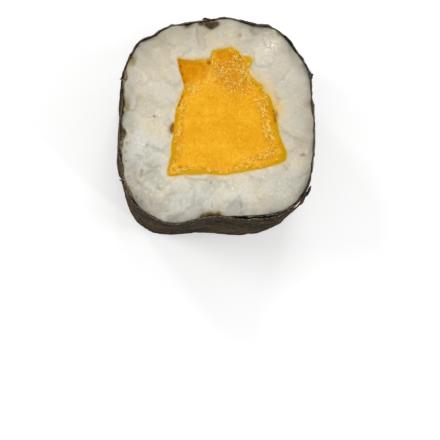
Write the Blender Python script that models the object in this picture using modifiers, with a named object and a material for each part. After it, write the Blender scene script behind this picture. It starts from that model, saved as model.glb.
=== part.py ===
"""Mango maki roll: one piece cut from a long sushi roll, standing on one cut end.

+Z runs along the roll, from the cut end that it stands on to the one that shows. X and Y cross
it, with the origin under the middle of the roll, on the surface that it stands on. The piece is
made as a cook makes it: a sheet of nori rolled round rice, rice round a bar of mango, and a knife
through all three at both ends. Lengths are in metres.
"""

import math

import bmesh
import bpy
import numpy as np

MM = 0.001

# The whole roll, measured over the nori.
ROLL_LENGTH = 32.0 * MM
ROLL_WIDTH = 26.8 * MM
ROLL_DEPTH = 27.6 * MM
CORNER_RADII = (10.6 * MM, 10.2 * MM, 7.4 * MM, 7.6 * MM)  # anticlockwise, from the +X +Y corner

# Where hands and mat pressed the roll out of true: direction in degrees, how far out, how wide in degrees.
PRESSED = (
    (20, -0.30 * MM, 14),
    (57, 0.35 * MM, 9),
    (84, 0.45 * MM, 9),
    (110, -0.40 * MM, 13),
    (163, -0.25 * MM, 9),
    (180, -0.15 * MM, 12),
    (-110, 0.25 * MM, 10),
    (-91, -0.60 * MM, 11),
    (-66, -0.25 * MM, 8),
    (-31, -0.30 * MM, 9),
)
OUTLINE_ROUNDING = 0.8 * MM

# Nori: a sheet rolled once round, its outer end lying over the start.
NORI_THICKNESS = 0.25 * MM
NORI_OVERLAP = 8.0 * MM
NORI_START = -74  # degrees, the direction in which the inner end lies
NORI_INSET = 0.40 * MM  # how far each cut edge lies below the cut rice
NORI_STEPS = 100
NORI_ROWS = 7
TUCK_LENGTH = 24.0 * MM  # the length of sheet that comes out from under the outer end
TUCK_RISE = 3.0 * MM  # the same on the other side of the start, in the rice
FLAP = 0.35 * MM  # how far the loose outer end stands off
FLAP_LENGTH = 3.0 * MM
RIPPLE = 0.12 * MM  # how far the sheet swells in and out of its outline
RIPPLE_WAVE = 9.0 * MM
EDGE_WANDER = 0.16 * MM  # how far its cut edges swell up and down
EDGE_WAVE = 3.6 * MM

CLEARANCE = 0.3 * MM  # between one node and the next, and between the sheet's two layers

# Mango: corners of the bar's cut end, from the roll's axis, anticlockwise from the lower left.
MANGO_CORNERS_MM = (
    (-6.7, -7.8), (1.2, -7.3), (8.1, -6.0), (9.6, -4.9), (8.3, 0.2), (7.0, 3.5),
    (5.6, 5.0), (4.5, 6.6), (5.0, 8.1), (3.4, 8.7), (2.1, 10.0), (-0.4, 9.3),
    (-0.9, 8.3), (-2.6, 8.1), (-5.4, 8.6), (-4.9, 6.6), (-4.3, 5.0), (-5.5, 1.8),
    (-6.1, -1.1), (-6.0, -4.6),
)  # fmt: skip
MANGO_ROUNDING = 0.28 * MM
MANGO_BELOW = 0.15 * MM  # the mango's cut face lies this far under the rice's
# The soft rim of each cut end: how far below the cut, and how far in from the bar's side.
MANGO_RIM = ((0.0, 0.75 * MM), (0.12 * MM, 0.4 * MM), (0.45 * MM, 0.12 * MM), (0.9 * MM, 0.0))
# Places where the cut end is hollow, as the fruit's own skin side was: middle and half sizes.
MANGO_SCOOPS_MM = (
    ((-4.4, 8.1), (3.9, 3.3, 1.0)),
    ((0.9, 10.0), (2.0, 1.7, 0.8)),
)

# Rice: a packed core, with whole grains standing out of it at each cut end.
GRAIN_SIZE = (5.4 * MM, 2.7 * MM, 2.5 * MM)
GRAIN_SPREAD = 0.14  # share by which one grain's size differs from another's
GRAIN_SPACING = 2.55 * MM
GRAIN_TILT = 28  # degrees out of the cut plane, at most
GRAIN_DEPTHS = (0.25 * MM, 1.05 * MM)  # a grain's middle, below the cut
CORE_BELOW = 0.85 * MM  # the packed core's face, below the cut
GRAIN_DARTS = 6000
SEED = 11

LOOP_POINTS = 720
CORNER_POINTS = 30
OUTER_POINTS = 66
INNER_POINTS = 54
WELD = 0.001 * MM
FLAT = math.radians(0.006)  # faces that meet at less than this are one


def resampled(loop, count):
    """The same closed loop as count points, spaced evenly along it from its first point."""
    closed = np.vstack([loop, loop[:1]])
    run = np.concatenate([[0.0], np.cumsum(np.hypot(*np.diff(closed, axis=0).T))])
    at = np.linspace(0.0, run[-1], count, endpoint=False)
    return np.column_stack([np.interp(at, run, closed[:, axis]) for axis in (0, 1)])


def softened(loop, spread):
    """A closed loop with its corners eased: a Gaussian average over about spread along it."""
    step = np.hypot(*(loop[1] - loop[0]))
    waves = np.fft.fft(loop[:, 0] + 1j * loop[:, 1])
    waves *= np.exp(-2 * (math.pi * np.fft.fftfreq(len(loop), step) * spread) ** 2)
    eased = np.fft.ifft(waves)
    return np.column_stack([eased.real, eased.imag])


def outward(loop):
    """The unit outward normal at each point of an anticlockwise loop."""
    along = np.roll(loop, -1, axis=0) - np.roll(loop, 1, axis=0)
    along /= np.linalg.norm(along, axis=1)[:, None]
    return np.column_stack([along[:, 1], -along[:, 0]])


def grown(loop, distance):
    """The loop moved outwards by distance, or inwards if that is negative."""
    return resampled(loop + outward(loop) * distance, len(loop))


def smooth_step(share):
    share = np.clip(share, 0.0, 1.0)
    return share * share * (3 - 2 * share)


def roll_outline():
    """The outside of the nori in section, from where the sheet starts, anticlockwise.

    It is a box with a radius at each corner, pressed out of true.
    """
    half = np.array([ROLL_WIDTH, ROLL_DEPTH]) / 2
    arcs = []
    for corner, radius in enumerate(CORNER_RADII):
        quarter = math.pi / 2 * (corner + np.linspace(0, 1, CORNER_POINTS))
        arc = np.column_stack([np.cos(quarter), np.sin(quarter)])
        arcs.append(np.sign(arc.sum(axis=0)) * (half - radius) + radius * arc)
    loop = resampled(np.vstack(arcs), LOOP_POINTS)
    direction = np.degrees(np.arctan2(loop[:, 1], loop[:, 0]))
    for angle, height, width in PRESSED:
        away = (direction - angle + 180) % 360 - 180
        push = height * np.exp(-((away / width) ** 2))
        loop += loop / np.linalg.norm(loop, axis=1)[:, None] * push[:, None]
    loop = softened(resampled(loop, LOOP_POINTS), OUTLINE_ROUNDING)
    middle = (loop.max(axis=0) + loop.min(axis=0)) / 2
    size = loop.max(axis=0) - loop.min(axis=0)
    loop = (loop - middle) * np.array([ROLL_WIDTH, ROLL_DEPTH]) / size
    direction = np.degrees(np.arctan2(loop[:, 1], loop[:, 0]))
    return np.roll(loop, -int(np.argmin(np.abs(direction - NORI_START))), axis=0)


def mango_outline():
    """The bar of mango in section: its corners joined by straight cuts and eased a little."""
    corners = np.array(MANGO_CORNERS_MM) * MM
    return softened(resampled(corners, LOOP_POINTS), MANGO_ROUNDING)


def polar(loop, directions):
    """The loop read at these directions from the axis, which every ray leaves it through once."""
    angle = np.arctan2(loop[:, 1], loop[:, 0])
    radius = np.interp(directions, angle, np.hypot(*loop.T), period=2 * math.pi)
    return radius[:, None] * np.column_stack([np.cos(directions), np.sin(directions)])


def swell(points, length):
    """Slow swells, -1 to 1, in a 3D field: plane waves of one length, in seeded directions."""
    draw = np.random.default_rng(SEED)
    waves = draw.normal(size=(6, 3))
    waves *= 2 * math.pi / length / np.linalg.norm(waves, axis=1)[:, None]
    phases = draw.uniform(0, 2 * math.pi, 6)
    return np.clip(1.7 * np.cos(points @ waves.T + phases).mean(axis=1), -1, 1)


def length_round(loop):
    return np.hypot(*(np.roll(loop, -1, axis=0) - loop).T).sum()


def rolled_sheet(flat):
    """Carries points of a flat sheet, from 0 to 1 each way, on to the roll.

    The first number runs along the sheet, once round the roll and on over its own start; the
    second runs up the roll. The start lies one layer in, and the last stretch stands off.
    """
    loop = grown(roll_outline(), -NORI_THICKNESS / 2)
    normal = outward(loop)
    around = length_round(loop)
    along = flat[:, 0] * (around + NORI_OVERLAP)
    place = along / around * len(loop)
    index = np.arange(len(loop))
    base, out = (
        np.column_stack([np.interp(place, index, table[:, axis], period=len(loop)) for axis in (0, 1)])
        for table in (loop, normal)
    )
    height = NORI_INSET + flat[:, 1] * (ROLL_LENGTH - 2 * NORI_INSET)
    solid_place = np.column_stack([base, height])
    from_end = around + NORI_OVERLAP - along
    lift = RIPPLE * (swell(solid_place, RIPPLE_WAVE) - 1)
    lift -= (NORI_THICKNESS + CLEARANCE) * smooth_step(1 - along / TUCK_LENGTH)
    lift += FLAP * smooth_step(1 - from_end / FLAP_LENGTH)
    wander = EDGE_WANDER * swell(solid_place, EDGE_WAVE) * (2 * flat[:, 1] - 1)
    return np.column_stack([base + out * lift[:, None], height + wander])


def rice_outline():
    """The outside of the rice in section: clear of the sheet, and one layer further in at its start."""
    loop = roll_outline()
    around = length_round(loop)
    along = np.arange(len(loop)) / len(loop) * around
    from_start = np.minimum(along / TUCK_LENGTH, (around - along) / TUCK_RISE)
    inset = (NORI_THICKNESS + CLEARANCE) * (1 + smooth_step(1 - from_start)) + 2 * RIPPLE
    return resampled(loop - outward(loop) * inset[:, None], LOOP_POINTS)


def material(name, colour, roughness):
    made = bpy.data.materials.new(name)
    made.use_nodes = True
    shader = made.node_tree.nodes["Principled BSDF"]
    shader.inputs["Base Color"].default_value = (*colour, 1.0)
    shader.inputs["Roughness"].default_value = roughness
    shader.inputs["Metallic"].default_value = 0.0
    return made


def collection(name, parent=None):
    made = bpy.data.collections.new(name)
    (parent or bpy.context.scene.collection).children.link(made)
    return made


def move_to(obj, target):
    for old in list(obj.users_collection):
        old.objects.unlink(obj)
    target.objects.link(obj)


def prism(name, loops, bottom, top, target):
    """A closed upright prism on one or more loops, the later ones holes: a filled 2D curve, made a mesh."""
    curve = bpy.data.curves.new(name, "CURVE")
    curve.dimensions = "2D"
    curve.fill_mode = "BOTH"
    curve.extrude = (top - bottom) / 2
    for loop in loops:
        spline = curve.splines.new("POLY")
        spline.points.add(len(loop) - 1)
        zero = np.zeros(len(loop))
        spline.points.foreach_set("co", np.column_stack([loop, zero, zero + 1]).ravel())
        spline.use_cyclic_u = True
    outline = bpy.data.objects.new(name + "_outline", curve)
    outline.location.z = (top + bottom) / 2
    target.objects.link(outline)
    bpy.context.view_layer.update()
    graph = bpy.context.evaluated_depsgraph_get()
    mesh = bpy.data.meshes.new_from_object(outline.evaluated_get(graph))
    mesh.transform(outline.matrix_world)
    shape = bmesh.new()
    shape.from_mesh(mesh)
    bmesh.ops.remove_doubles(shape, verts=shape.verts, dist=WELD)
    bmesh.ops.dissolve_limit(shape, angle_limit=FLAT, verts=shape.verts, edges=shape.edges)
    shape.to_mesh(mesh)
    shape.free()
    bpy.data.objects.remove(outline)
    bpy.data.curves.remove(curve)
    solid = bpy.data.objects.new(name, mesh)
    target.objects.link(solid)
    return solid


def loft(name, sections, target):
    """A closed upright solid through sections of (height, loop), all with as many points."""
    shape = bmesh.new()
    rings = [[shape.verts.new((x, y, z)) for x, y in loop] for z, loop in sections]
    shape.faces.new(rings[0][::-1])
    shape.faces.new(rings[-1])
    for low, high in zip(rings, rings[1:]):
        for i in range(len(low)):
            shape.faces.new((low[i - 1], low[i], high[i], high[i - 1]))
    mesh = bpy.data.meshes.new(name)
    shape.to_mesh(mesh)
    shape.free()
    solid = bpy.data.objects.new(name, mesh)
    target.objects.link(solid)
    return solid


def boolean(obj, operation, other):
    """Adds a Boolean with an object, or with every object of a collection, and applies it."""
    cut = obj.modifiers.new(operation.title(), "BOOLEAN")
    cut.operation = operation
    if isinstance(other, bpy.types.Collection):
        cut.operand_type = "COLLECTION"
        cut.collection = other
    else:
        cut.object = other
    bpy.context.view_layer.update()
    graph = bpy.context.evaluated_depsgraph_get()
    mesh = bpy.data.meshes.new_from_object(obj.evaluated_get(graph))
    obj.modifiers.clear()
    obj.data = mesh


def keep_outer_shell(mesh):
    """Keeps the largest connected surface: sealed hollows between fused shapes fill, loose scraps go."""
    shape = bmesh.new()
    shape.from_mesh(mesh)
    waiting = set(shape.verts)
    shells = []
    while waiting:
        edge = [waiting.pop()]
        shell = set(edge)
        while edge:
            near = {link.other_vert(vert) for vert in edge for link in vert.link_edges} - shell
            shell |= near
            edge = list(near)
        waiting -= shell
        shells.append(shell)
    shells.sort(key=len)
    loose = [vert for shell in shells[:-1] for vert in shell]
    bmesh.ops.delete(shape, geom=loose, context="VERTS")
    shape.to_mesh(mesh)
    shape.free()


def ball(name, size, place, turn, target):
    """An ellipsoid of size across, from an icosphere with its scale applied."""
    bpy.ops.mesh.primitive_ico_sphere_add(subdivisions=2, radius=0.5, location=place, rotation=turn)
    obj = bpy.context.object
    obj.name = name
    obj.scale = size
    bpy.ops.object.transform_apply(location=False, rotation=False, scale=True)
    move_to(obj, target)
    return obj


def inside(loop, points):
    """Which points lie inside a closed loop, by counting the sides that a line to the right crosses."""
    after = np.roll(loop, -1, axis=0)
    low, high = loop[:, 1], after[:, 1]
    found = []
    for x, y in points:
        spans = (low > y) != (high > y)
        crossing = loop[spans, 0] + (y - low[spans]) / (high - low)[spans] * (after - loop)[spans, 0]
        found.append(np.count_nonzero(crossing > x) % 2 == 1)
    return np.array(found)


def grain_places(draw, outer, hole):
    """Middles of the grains in one cut end: seeded darts thrown between the nori and the mango."""
    half = np.array([ROLL_WIDTH, ROLL_DEPTH]) / 2
    darts = draw.uniform(-half, half, size=(GRAIN_DARTS, 2))
    darts = darts[inside(outer, darts) & ~inside(hole, darts)]
    kept = []
    for dart in darts:
        if all(np.hypot(*(dart - other)) > GRAIN_SPACING for other in kept):
            kept.append(dart)
    return kept


def make_nori(target):
    bpy.ops.mesh.primitive_grid_add(x_subdivisions=NORI_STEPS, y_subdivisions=NORI_ROWS, size=1)
    nori = bpy.context.object
    nori.name = "nori"
    move_to(nori, target)
    places = np.empty(len(nori.data.vertices) * 3)
    nori.data.vertices.foreach_get("co", places)
    flat = places.reshape(-1, 3)[:, :2] + 0.5
    nori.data.vertices.foreach_set("co", rolled_sheet(flat).ravel())
    wall = nori.modifiers.new("Wall", "SOLIDIFY")
    wall.thickness = NORI_THICKNESS
    wall.offset = 0.0
    nori.data.shade_smooth()
    nori.data.materials.append(material("nori_sheet", (0.055, 0.050, 0.030), 0.45))


def make_mango(target, cutters):
    outline = mango_outline()
    directions = np.arctan2(*resampled(outline, INNER_POINTS).T[::-1])
    rim = [
        (below, polar(softened(grown(outline, -inset), MANGO_ROUNDING), directions))
        for below, inset in MANGO_RIM
    ]
    top = ROLL_LENGTH - MANGO_BELOW
    mango = loft("mango", rim + [(top - below, loop) for below, loop in rim[::-1]], target)
    for number, ((x, y), half_sizes) in enumerate(MANGO_SCOOPS_MM):
        size = [2 * half * MM for half in half_sizes]
        place = (x * MM, y * MM, ROLL_LENGTH - MANGO_BELOW)
        scoop = ball(f"scoop_{number}", size, place, (0, 0, 0), cutters)
        cut = mango.modifiers.new(scoop.name, "BOOLEAN")
        cut.operation = "DIFFERENCE"
        cut.object = scoop
    mango.data.materials.append(material("mango_flesh", (0.85, 0.42, 0.02), 0.35))


def make_rice(target, cutters):
    """Core and grains are joined, then trimmed to the room between nori, mango and the two cuts."""
    draw = np.random.default_rng(SEED)
    outer = rice_outline()
    hole = softened(grown(mango_outline(), CLEARANCE), MANGO_ROUNDING)
    loops = [resampled(outer, OUTER_POINTS), resampled(hole, INNER_POINTS)]
    rice = prism("rice", loops, CORE_BELOW, ROLL_LENGTH - CORE_BELOW, target)
    grains = collection("grains", cutters)
    for end in (0, 1):
        for x, y in grain_places(draw, outer, hole):
            size = np.array(GRAIN_SIZE) * draw.uniform(1 - GRAIN_SPREAD, 1 + GRAIN_SPREAD, 3)
            depth = draw.uniform(*GRAIN_DEPTHS)
            tilt = math.radians(draw.uniform(-GRAIN_TILT, GRAIN_TILT))
            turn = (draw.uniform(0, math.pi), tilt, draw.uniform(0, 2 * math.pi))
            place = (x, y, ROLL_LENGTH - depth if end else depth)
            ball(f"grain_{len(grains.objects)}", size, place, turn, grains)
    boolean(rice, "UNION", grains)
    for grain in list(grains.objects):
        bpy.data.objects.remove(grain)
    room = prism("room", loops, 0.0, ROLL_LENGTH, cutters)
    boolean(rice, "INTERSECT", room)
    keep_outer_shell(rice.data)
    rice.data.materials.clear()
    rice.data.materials.append(material("cooked_rice", (0.62, 0.58, 0.47), 0.5))


def main():
    for obj in list(bpy.data.objects):
        bpy.data.objects.remove(obj)
    roll = collection("mango_maki_roll")
    cutters = collection("cutters")
    make_nori(roll)
    make_mango(roll, cutters)
    make_rice(roll, cutters)
    for cutter in cutters.all_objects:
        cutter.hide_render = True
        cutter.display_type = "WIRE"


main()
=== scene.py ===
# %% [markdown]
# # A piece of mango maki, standing on its cut end
#
# A maki is a sheet of nori (dried seaweed) rolled round cooked rice, here with a bar of fresh
# mango in the middle. A knife cuts the roll into pieces, and this one stands on one of its two
# cut ends, with the other on show. Three things give it its look: rice that the knife has pressed
# into one milky mass, wet mango that shines along the edge of its cut, and a thin dark skin with
# a ragged rim.
#
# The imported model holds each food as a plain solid. It could be shown as it is, or be given a
# finer surface with modifiers. Here every food is worked out again as a fine surface of its own,
# because the grain of a cut can't be had from a few flat faces.

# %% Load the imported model
import math
from itertools import product

import bpy
import numpy as np
from mathutils import Matrix, Vector


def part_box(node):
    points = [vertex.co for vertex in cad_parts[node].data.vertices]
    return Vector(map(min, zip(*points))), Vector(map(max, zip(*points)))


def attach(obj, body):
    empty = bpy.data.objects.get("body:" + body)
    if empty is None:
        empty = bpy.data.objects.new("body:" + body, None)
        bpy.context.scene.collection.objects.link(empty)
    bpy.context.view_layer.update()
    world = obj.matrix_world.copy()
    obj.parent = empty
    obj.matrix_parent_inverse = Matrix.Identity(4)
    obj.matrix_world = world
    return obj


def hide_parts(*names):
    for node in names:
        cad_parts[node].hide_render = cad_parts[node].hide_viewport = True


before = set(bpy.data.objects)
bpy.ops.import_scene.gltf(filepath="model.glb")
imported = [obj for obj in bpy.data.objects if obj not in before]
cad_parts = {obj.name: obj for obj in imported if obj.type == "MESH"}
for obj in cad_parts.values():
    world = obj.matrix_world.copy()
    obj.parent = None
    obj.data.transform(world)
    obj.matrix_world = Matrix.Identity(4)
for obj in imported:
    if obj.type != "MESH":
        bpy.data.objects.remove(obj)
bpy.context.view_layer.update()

for node in ("nori", "rice", "mango"):
    low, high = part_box(node)
    print(node, "from", [round(v * 1000, 2) for v in low],
          "to", [round(v * 1000, 2) for v in high], "mm")

# %% [markdown]
# ## Measures
#
# All shapes are worked out in millimetres, as a cook would measure them, and become metres when
# they are put into a mesh. The angles say where on the section something lies, anticlockwise from
# the right.

# %% The roll and its skin
MM = 0.001
SEED = 11
ROLL_LENGTH = 32.0
ROLL_WIDTH = 26.8
ROLL_DEPTH = 27.6
CORNER_RADII = (10.6, 10.2, 7.4, 7.6)
PRESSED = (
    (20, -0.30, 14), (57, 0.35, 9), (84, 0.45, 9), (110, -0.40, 13), (163, -0.25, 9),
    (180, -0.15, 12), (-110, 0.25, 10), (-91, -0.60, 11), (-66, -0.25, 8), (-31, -0.30, 9))
OUTLINE_ROUNDING = 0.8
LOOP_POINTS = 720
CORNER_POINTS = 30

NORI_THICKNESS = 0.19
NORI_OVERLAP = 8.0
NORI_START = -74
NORI_INSET = 0.30
TUCK_LENGTH = 14.0
TUCK_DEPTH = 0.42
TUCK_RISE = 3.0
FLAP = 0.22
FLAP_LENGTH = 2.4
# (angle, push at the top, push at the bottom, width): how the roll differs along its length
SAGGED = (
    (100, 0.38, 0.10, 22), (55, 0.22, 0.05, 8), (135, 0.20, 0.0, 6), (172, -0.20, -0.25, 16),
    (214, -0.10, -1.05, 13), (345, 0.22, 0.10, 14), (262, 0.10, -0.2, 12), (290, 0.12, 0.35, 14),
    (30, 0.20, 0.1, 6), (116, 0.14, 0.0, 4), (126, -0.16, 0.0, 4), (168, -0.12, 0.0, 4),
    (183, 0.12, 0.0, 5), (207, -0.18, -0.3, 6), (338, -0.28, -0.1, 6), (84, 0.10, 0.0, 5),
    (269, 0.0, 0.55, 11), (318, 0.02, -0.1, 6), (247, 0.42, 0.0, 11), (26, 0.20, 0.0, 4),
    (134, 0.14, 0.0, 5), (206, -0.22, -0.2, 4), (61, 0.14, 0.0, 4))
# (angle, how far, width): where the rice stands back from the nori at the top
SHRUNK = (
    (155, 0.55, 4), (163, 0.30, 3), (188, 0.70, 4), (194, 0.40, 4), (200, 0.30, 4), (214, 0.34, 4),
    (221, 0.44, 4), (141, 0.10, 4), (169, 0.20, 3), (268, 0.20, 4), (316, 0.15, 4))

MANGO_CORNERS = (
    (-6.7, -7.65), (-4.4, -7.35), (-1.5, -7.25), (1.2, -7.45), (3.2, -7.05), (5.95, -6.55),
    (8.35, -5.95), (9.55, -5.25), (9.55, -4.35), (9.05, -3.2), (8.5, -1.9), (8.25, -0.7),
    (8.15, 0.4), (7.65, 2.15), (7.2, 3.4), (6.3, 4.0), (6.3, 4.9), (5.15, 5.3), (4.5, 6.1),
    (4.3, 6.9), (4.95, 8.2), (4.6, 8.7), (3.5, 8.8), (2.2, 10.05), (-0.65, 9.4), (-0.85, 8.3),
    (-2.6, 8.2), (-4.2, 8.2), (-5.4, 8.5), (-5.0, 6.6), (-4.5, 5.1), (-4.6, 3.7), (-5.5, 1.9),
    (-5.6, 0.3), (-5.85, -1.0), (-5.95, -2.3), (-6.1, -3.6), (-6.05, -4.4), (-6.35, -5.6))
MANGO_ROUNDING = 0.28

# %% [markdown]
# ## Outlines
#
# Both outlines are closed loops of points. The roll's outline is a rectangle with four round
# corners of different sizes, which a few soft pushes turn into the uneven shape of a roll that
# was pressed by hand. The mango's outline is a knife-cut polygon with softened corners.

# %% Loops of points


def resampled(loop, count):
    """The same closed loop with its points spread evenly along its length."""
    closed = np.vstack([loop, loop[:1]])
    run = np.concatenate([[0.0], np.cumsum(np.hypot(*np.diff(closed, axis=0).T))])
    at = np.linspace(0.0, run[-1], count, endpoint=False)
    return np.column_stack([np.interp(at, run, closed[:, axis]) for axis in (0, 1)])


def softened(loop, spread):
    """Each point becomes a Gaussian average of its neighbours along the loop, by Fourier series."""
    step = np.hypot(*(loop[1] - loop[0]))
    waves = np.fft.fft(loop[:, 0] + 1j * loop[:, 1])
    waves *= np.exp(-2 * (math.pi * np.fft.fftfreq(len(loop), step) * spread) ** 2)
    eased = np.fft.ifft(waves)
    return np.column_stack([eased.real, eased.imag])


def outward(loop):
    """Unit normals: the direction from the point before to the point after, turned clockwise."""
    along = np.roll(loop, -1, axis=0) - np.roll(loop, 1, axis=0)
    along /= np.linalg.norm(along, axis=1)[:, None]
    return np.column_stack([along[:, 1], -along[:, 0]])


def smooth_step(share):
    """3s² - 2s³ between 0 and 1, level at both ends."""
    share = np.clip(share, 0.0, 1.0)
    return share * share * (3 - 2 * share)


def swell(degrees, angle, width):
    """exp(-(angle away / width)²), where the angle away is at most half a turn."""
    away = (degrees - angle + 180) % 360 - 180
    return np.exp(-((away / width) ** 2))


def roll_outline():
    """A rounded rectangle, with a swell added for each push, and brought back to its two widths."""
    half = np.array([ROLL_WIDTH, ROLL_DEPTH]) / 2
    arcs = []
    for corner, radius in enumerate(CORNER_RADII):
        quarter = math.pi / 2 * (corner + np.linspace(0, 1, CORNER_POINTS))
        arc = np.column_stack([np.cos(quarter), np.sin(quarter)])
        arcs.append(np.sign(arc.sum(axis=0)) * (half - radius) + radius * arc)
    loop = resampled(np.vstack(arcs), LOOP_POINTS)
    direction = np.degrees(np.arctan2(loop[:, 1], loop[:, 0]))
    for angle, height, width in PRESSED:
        push = height * swell(direction, angle, width)
        loop += loop / np.linalg.norm(loop, axis=1)[:, None] * push[:, None]
    loop = softened(resampled(loop, LOOP_POINTS), OUTLINE_ROUNDING)
    middle = (loop.max(axis=0) + loop.min(axis=0)) / 2
    size = loop.max(axis=0) - loop.min(axis=0)
    loop = (loop - middle) * np.array([ROLL_WIDTH, ROLL_DEPTH]) / size
    direction = np.degrees(np.arctan2(loop[:, 1], loop[:, 0]))
    return np.roll(loop, -int(np.argmin(np.abs(direction - NORI_START))), axis=0)


def polar(loop, directions):
    """The loop's distance from the axis in each direction."""
    angles = np.arctan2(loop[:, 1], loop[:, 0])
    return np.interp(directions, angles, np.hypot(loop[:, 0], loop[:, 1]), period=2 * math.pi)


def sagged(directions, height):
    """A swell for each push, blended from the bottom's size to the top's by height."""
    degrees = np.degrees(directions)
    share = height / ROLL_LENGTH
    return sum((bottom + (top - bottom) * share) * swell(degrees, angle, width)
               for angle, top, bottom, width in SAGGED)


ROLL_LOOP = roll_outline()
AROUND = LOOP_POINTS * np.hypot(*(ROLL_LOOP[1] - ROLL_LOOP[0]))
MANGO_LOOP = softened(resampled(np.array(MANGO_CORNERS), LOOP_POINTS), MANGO_ROUNDING)
print("the roll is", round(AROUND, 1), "mm round")

# %% [markdown]
# ## Unevenness
#
# Food has no straight line. All of its unevenness comes from one kind of noise: random values on
# a lattice, blended smoothly in between. Blender's own noise would do, but it takes one point at
# a time. This one takes a whole array.

# %% Noise on whole arrays
HASH_PRIMES = (73856093, 19349663, 83492791)


def noise(points, cell, seed):
    """Random values from -1 to 1 on a lattice of that cell, blended by smooth_step along each axis."""
    values = np.random.default_rng(seed).uniform(-1, 1, 4096)
    place = np.asarray(points, float) / cell
    corner = np.floor(place).astype(np.int64)
    share = smooth_step(place - corner)
    total = np.zeros(place.shape[:-1])
    for step in product((0, 1), repeat=place.shape[-1]):
        at = corner + np.array(step)
        key = np.zeros(at.shape[:-1], np.int64)
        for axis in range(at.shape[-1]):
            key ^= at[..., axis] * HASH_PRIMES[axis]
        total += values[key & 4095] * np.prod(np.where(step, share, 1 - share), axis=-1)
    return total


def rough(points, cell, seed, octaves=3):
    """Noise, plus half as much of it at half the cell, and so on, brought back to about -1 to 1."""
    total = sum(noise(points, cell / 2**turn, seed + turn) / 2**turn for turn in range(octaves))
    return total / 1.4


def humps(points, places):
    """The sum of exp(-(distance / radius)²) over places of (x, y, radius, height)."""
    places = np.array(places, float)
    away = np.hypot(points[..., 0, None] - places[:, 0], points[..., 1, None] - places[:, 1])
    return (np.exp(-((away / places[:, 2]) ** 2)) * places[:, 3]).sum(axis=-1)


def marks(points, places):
    """The same humps, held between 0 and 1."""
    return np.clip(humps(points, places), 0, 1)


# %% [markdown]
# ## From a grid to a mesh
#
# Each food is a function of two parameters, so its points make a grid of rows and columns. One
# helper joins neighbours with four-sided faces, closes the grid where it goes round, and closes
# what is left open with a pole or a flat cap. It measures the volume, and a negative one means
# that the faces point inwards, so they are turned round.

# %% Make a closed surface


def linked(name, data):
    """A new object for a mesh, a lamp or a camera, put into the scene."""
    made = bpy.data.objects.new(name, data)
    bpy.context.scene.collection.objects.link(made)
    return made


def solid(name, points, faces):
    """Points in mm and the corners of each face, as a smooth object in the scene."""
    mesh = bpy.data.meshes.new(name)
    mesh.from_pydata((points * MM).tolist(), [], faces)
    mesh.shade_smooth()
    print(name, len(points), "points,", len(faces), "faces")
    return linked(name, mesh)


def quads_between(index):
    """The four-sided faces between neighbours in a grid of point numbers."""
    corners = [index[:-1, :-1], index[:-1, 1:], index[1:, 1:], index[1:, :-1]]
    return np.stack(corners, axis=-1).reshape(-1, 4)


def facing_out(faces, vertices, quads):
    """The faces, turned round if the sum of a · (b × c) over the quads' triangles is negative."""
    a, b, c, d = (vertices[quads[:, corner]] for corner in range(4))
    six_volumes = (a * (np.cross(b, c) + np.cross(c, d))).sum()
    return [face[::-1] for face in faces] if six_volumes < 0 else faces


def closed_surface(name, points, wrap_rows=False, poles=False):
    """Rows × columns of points. Columns always go round. Rows go round, or end in poles or caps."""
    rows, columns = points.shape[:2]
    index = np.arange(rows * columns).reshape(rows, columns)
    vertices = points.reshape(-1, 3)
    if wrap_rows:
        index = np.vstack([index, index[:1]])
    index = np.column_stack([index, index[:, 0]])
    quads = quads_between(index)
    faces = quads.tolist()
    if poles:
        vertices = np.vstack([vertices, points[0].mean(axis=0), points[-1].mean(axis=0)])
        first = np.full(columns, rows * columns)
        faces += np.column_stack([index[0, 1:], index[0, :-1], first]).tolist()
        faces += np.column_stack([index[-1, :-1], index[-1, 1:], first + 1]).tolist()
    elif not wrap_rows:
        faces += [index[0, -2::-1].tolist(), index[-1, :-1].tolist()]
    return solid(name, vertices, facing_out(faces, vertices, quads))


def paint(piece, name, values):
    """Keeps one number for each point under that name, for the material to read."""
    values = np.asarray(values, np.float32).ravel()
    missing = len(piece.data.vertices) - len(values)
    values = np.append(values, np.full(missing, values[-1], np.float32))
    layer = piece.data.attributes.new(name, "FLOAT", "POINT")
    layer.data.foreach_set("value", values)


# %% [markdown]
# ## The same directions for rice and mango
#
# The inner edge of the rice has to follow the edge of the mango without a gap. Both surfaces are
# therefore laid out on the same directions from the axis. Even steps of angle would be coarse
# where an outline runs towards the axis, so the steps share out the length of both outlines.

# %% Directions from the axis
DIRECTION_COUNT = 720
RICE_GAP = 0.02
FINE_COUNT = 14400


def rice_outline():
    """The roll's outline, moved in by the nori, and by its tucked start where that lies inside."""
    along = np.arange(LOOP_POINTS) / LOOP_POINTS * AROUND
    from_start = np.minimum(along / TUCK_LENGTH, (AROUND - along) / TUCK_RISE)
    inset = NORI_THICKNESS + RICE_GAP + TUCK_DEPTH * smooth_step(1 - from_start)
    return ROLL_LOOP - outward(ROLL_LOOP) * inset[:, None]


def shared_directions(loops, count):
    """Directions such that each step covers the same share of the loops' lengths together."""
    fine = np.linspace(-math.pi, math.pi, FINE_COUNT + 1)
    length = np.zeros(FINE_COUNT + 1)
    for loop in loops:
        radius = polar(loop, fine)
        spot = np.column_stack([np.cos(fine), np.sin(fine)]) * radius[:, None]
        run = np.concatenate([[0.0], np.cumsum(np.hypot(*np.diff(spot, axis=0).T))])
        length += run / run[-1]
    return np.interp(np.linspace(0, length[-1], count, endpoint=False), length, fine)


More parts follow.
